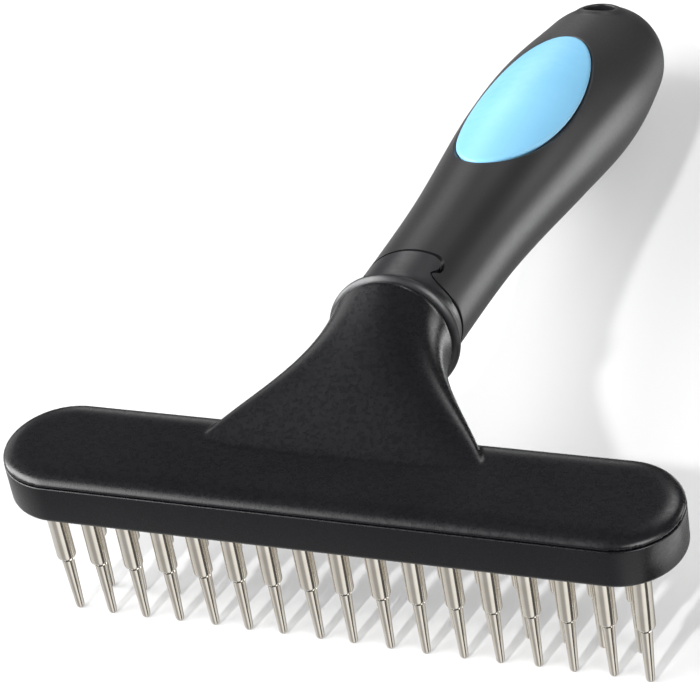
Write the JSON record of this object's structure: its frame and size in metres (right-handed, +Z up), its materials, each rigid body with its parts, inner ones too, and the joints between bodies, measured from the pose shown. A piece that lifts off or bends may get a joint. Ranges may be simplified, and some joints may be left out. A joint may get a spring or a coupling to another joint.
{
  "type": "undercoat rake",
  "caption": "Dog deshedding rake: a flat bar with two staggered rows of stepped turning pins, a flared neck and a soft curved grip with a keyed collar and hanging hole.",
  "frame": {"origin": "on the floor under the middle of the bounding box, with the pin tips at z = 0", "axes": "+Z up, away from the pin tips; +Y from the pin bar towards the end of the handle; +X along the pin bar"},
  "size_m": [0.1278, 0.2082, 0.053],
  "materials": {
    "black_abs": "satin black ABS with a fine moulded grain",
    "grey_abs": "satin charcoal ABS with a fine grain",
    "nylon": "natural nylon, plain",
    "soft_rubber": "soft-touch charcoal thermoplastic rubber, dull sheen",
    "blue_inlay": "light blue, semi-gloss",
    "pin_steel": "turned and polished, warm nickel tint"
  },
  "bodies": {
    "root": {"head_shell_with_neck": "black_abs", "pin_plate": "black_abs", "pin_retainer_strip": "nylon", "handle_core_with_collar": "grey_abs", "soft_grip": "soft_rubber", "oval_inlay": "blue_inlay"},
    "pin_front_01": {"pin_front_01": "pin_steel"},
    "pin_front_02": {"pin_front_02": "pin_steel"},
    "pin_front_03": {"pin_front_03": "pin_steel"},
    "pin_front_04": {"pin_front_04": "pin_steel"},
    "pin_front_05": {"pin_front_05": "pin_steel"},
    "pin_front_06": {"pin_front_06": "pin_steel"},
    "pin_front_07": {"pin_front_07": "pin_steel"},
    "pin_front_08": {"pin_front_08": "pin_steel"},
    "pin_front_09": {"pin_front_09": "pin_steel"},
    "pin_front_10": {"pin_front_10": "pin_steel"},
    "pin_front_11": {"pin_front_11": "pin_steel"},
    "pin_front_12": {"pin_front_12": "pin_steel"},
    "pin_front_13": {"pin_front_13": "pin_steel"},
    "pin_front_14": {"pin_front_14": "pin_steel"},
    "pin_front_15": {"pin_front_15": "pin_steel"},
    "pin_front_16": {"pin_front_16": "pin_steel"},
    "pin_front_17": {"pin_front_17": "pin_steel"},
    "pin_back_01": {"pin_back_01": "pin_steel"},
    "pin_back_02": {"pin_back_02": "pin_steel"},
    "pin_back_03": {"pin_back_03": "pin_steel"},
    "pin_back_04": {"pin_back_04": "pin_steel"},
    "pin_back_05": {"pin_back_05": "pin_steel"},
    "pin_back_06": {"pin_back_06": "pin_steel"},
    "pin_back_07": {"pin_back_07": "pin_steel"},
    "pin_back_08": {"pin_back_08": "pin_steel"},
    "pin_back_09": {"pin_back_09": "pin_steel"},
    "pin_back_10": {"pin_back_10": "pin_steel"},
    "pin_back_11": {"pin_back_11": "pin_steel"},
    "pin_back_12": {"pin_back_12": "pin_steel"},
    "pin_back_13": {"pin_back_13": "pin_steel"},
    "pin_back_14": {"pin_back_14": "pin_steel"},
    "pin_back_15": {"pin_back_15": "pin_steel"},
    "pin_back_16": {"pin_back_16": "pin_steel"}
  },
  "joints": [
    {"name": "pin_front_01_spin", "type": "hinge", "parent": "root", "child": "pin_front_01", "pos_m": [-0.056, -0.09577, 0.03], "axis": [0, 0, 1], "continuous": true},
    {"name": "pin_front_02_spin", "type": "hinge", "parent": "root", "child": "pin_front_02", "pos_m": [-0.049, -0.09577, 0.03], "axis": [0, 0, 1], "continuous": true},
    {"name": "pin_front_03_spin", "type": "hinge", "parent": "root", "child": "pin_front_03", "pos_m": [-0.042, -0.09577, 0.03], "axis": [0, 0, 1], "continuous": true},
    {"name": "pin_front_04_spin", "type": "hinge", "parent": "root", "child": "pin_front_04", "pos_m": [-0.035, -0.09577, 0.03], "axis": [0, 0, 1], "continuous": true},
    {"name": "pin_front_05_spin", "type": "hinge", "parent": "root", "child": "pin_front_05", "pos_m": [-0.028, -0.09577, 0.03], "axis": [0, 0, 1], "continuous": true},
    {"name": "pin_front_06_spin", "type": "hinge", "parent": "root", "child": "pin_front_06", "pos_m": [-0.021, -0.09577, 0.03], "axis": [0, 0, 1], "continuous": true},
    {"name": "pin_front_07_spin", "type": "hinge", "parent": "root", "child": "pin_front_07", "pos_m": [-0.014, -0.09577, 0.03], "axis": [0, 0, 1], "continuous": true},
    {"name": "pin_front_08_spin", "type": "hinge", "parent": "root", "child": "pin_front_08", "pos_m": [-0.007, -0.09577, 0.03], "axis": [0, 0, 1], "continuous": true},
    {"name": "pin_front_09_spin", "type": "hinge", "parent": "root", "child": "pin_front_09", "pos_m": [0, -0.09577, 0.03], "axis": [0, 0, 1], "continuous": true},
    {"name": "pin_front_10_spin", "type": "hinge", "parent": "root", "child": "pin_front_10", "pos_m": [0.007, -0.09577, 0.03], "axis": [0, 0, 1], "continuous": true},
    {"name": "pin_front_11_spin", "type": "hinge", "parent": "root", "child": "pin_front_11", "pos_m": [0.014, -0.09577, 0.03], "axis": [0, 0, 1], "continuous": true},
    {"name": "pin_front_12_spin", "type": "hinge", "parent": "root", "child": "pin_front_12", "pos_m": [0.021, -0.09577, 0.03], "axis": [0, 0, 1], "continuous": true},
    {"name": "pin_front_13_spin", "type": "hinge", "parent": "root", "child": "pin_front_13", "pos_m": [0.028, -0.09577, 0.03], "axis": [0, 0, 1], "continuous": true},
    {"name": "pin_front_14_spin", "type": "hinge", "parent": "root", "child": "pin_front_14", "pos_m": [0.035, -0.09577, 0.03], "axis": [0, 0, 1], "continuous": true},
    {"name": "pin_front_15_spin", "type": "hinge", "parent": "root", "child": "pin_front_15", "pos_m": [0.042, -0.09577, 0.03], "axis": [0, 0, 1], "continuous": true},
    {"name": "pin_front_16_spin", "type": "hinge", "parent": "root", "child": "pin_front_16", "pos_m": [0.049, -0.09577, 0.03], "axis": [0, 0, 1], "continuous": true},
    {"name": "pin_front_17_spin", "type": "hinge", "parent": "root", "child": "pin_front_17", "pos_m": [0.056, -0.09577, 0.03], "axis": [0, 0, 1], "continuous": true},
    {"name": "pin_back_01_spin", "type": "hinge", "parent": "root", "child": "pin_back_01", "pos_m": [-0.0525, -0.08897, 0.03], "axis": [0, 0, 1], "continuous": true},
    {"name": "pin_back_02_spin", "type": "hinge", "parent": "root", "child": "pin_back_02", "pos_m": [-0.0455, -0.08897, 0.03], "axis": [0, 0, 1], "continuous": true},
    {"name": "pin_back_03_spin", "type": "hinge", "parent": "root", "child": "pin_back_03", "pos_m": [-0.0385, -0.08897, 0.03], "axis": [0, 0, 1], "continuous": true},
    {"name": "pin_back_04_spin", "type": "hinge", "parent": "root", "child": "pin_back_04", "pos_m": [-0.0315, -0.08897, 0.03], "axis": [0, 0, 1], "continuous": true},
    {"name": "pin_back_05_spin", "type": "hinge", "parent": "root", "child": "pin_back_05", "pos_m": [-0.0245, -0.08897, 0.03], "axis": [0, 0, 1], "continuous": true},
    {"name": "pin_back_06_spin", "type": "hinge", "parent": "root", "child": "pin_back_06", "pos_m": [-0.0175, -0.08897, 0.03], "axis": [0, 0, 1], "continuous": true},
    {"name": "pin_back_07_spin", "type": "hinge", "parent": "root", "child": "pin_back_07", "pos_m": [-0.0105, -0.08897, 0.03], "axis": [0, 0, 1], "continuous": true},
    {"name": "pin_back_08_spin", "type": "hinge", "parent": "root", "child": "pin_back_08", "pos_m": [-0.0035, -0.08897, 0.03], "axis": [0, 0, 1], "continuous": true},
    {"name": "pin_back_09_spin", "type": "hinge", "parent": "root", "child": "pin_back_09", "pos_m": [0.0035, -0.08897, 0.03], "axis": [0, 0, 1], "continuous": true},
    {"name": "pin_back_10_spin", "type": "hinge", "parent": "root", "child": "pin_back_10", "pos_m": [0.0105, -0.08897, 0.03], "axis": [0, 0, 1], "continuous": true},
    {"name": "pin_back_11_spin", "type": "hinge", "parent": "root", "child": "pin_back_11", "pos_m": [0.0175, -0.08897, 0.03], "axis": [0, 0, 1], "continuous": true},
    {"name": "pin_back_12_spin", "type": "hinge", "parent": "root", "child": "pin_back_12", "pos_m": [0.0245, -0.08897, 0.03], "axis": [0, 0, 1], "continuous": true},
    {"name": "pin_back_13_spin", "type": "hinge", "parent": "root", "child": "pin_back_13", "pos_m": [0.0315, -0.08897, 0.03], "axis": [0, 0, 1], "continuous": true},
    {"name": "pin_back_14_spin", "type": "hinge", "parent": "root", "child": "pin_back_14", "pos_m": [0.0385, -0.08897, 0.03], "axis": [0, 0, 1], "continuous": true},
    {"name": "pin_back_15_spin", "type": "hinge", "parent": "root", "child": "pin_back_15", "pos_m": [0.0455, -0.08897, 0.03], "axis": [0, 0, 1], "continuous": true},
    {"name": "pin_back_16_spin", "type": "hinge", "parent": "root", "child": "pin_back_16", "pos_m": [0.0525, -0.08897, 0.03], "axis": [0, 0, 1], "continuous": true}
  ]
}
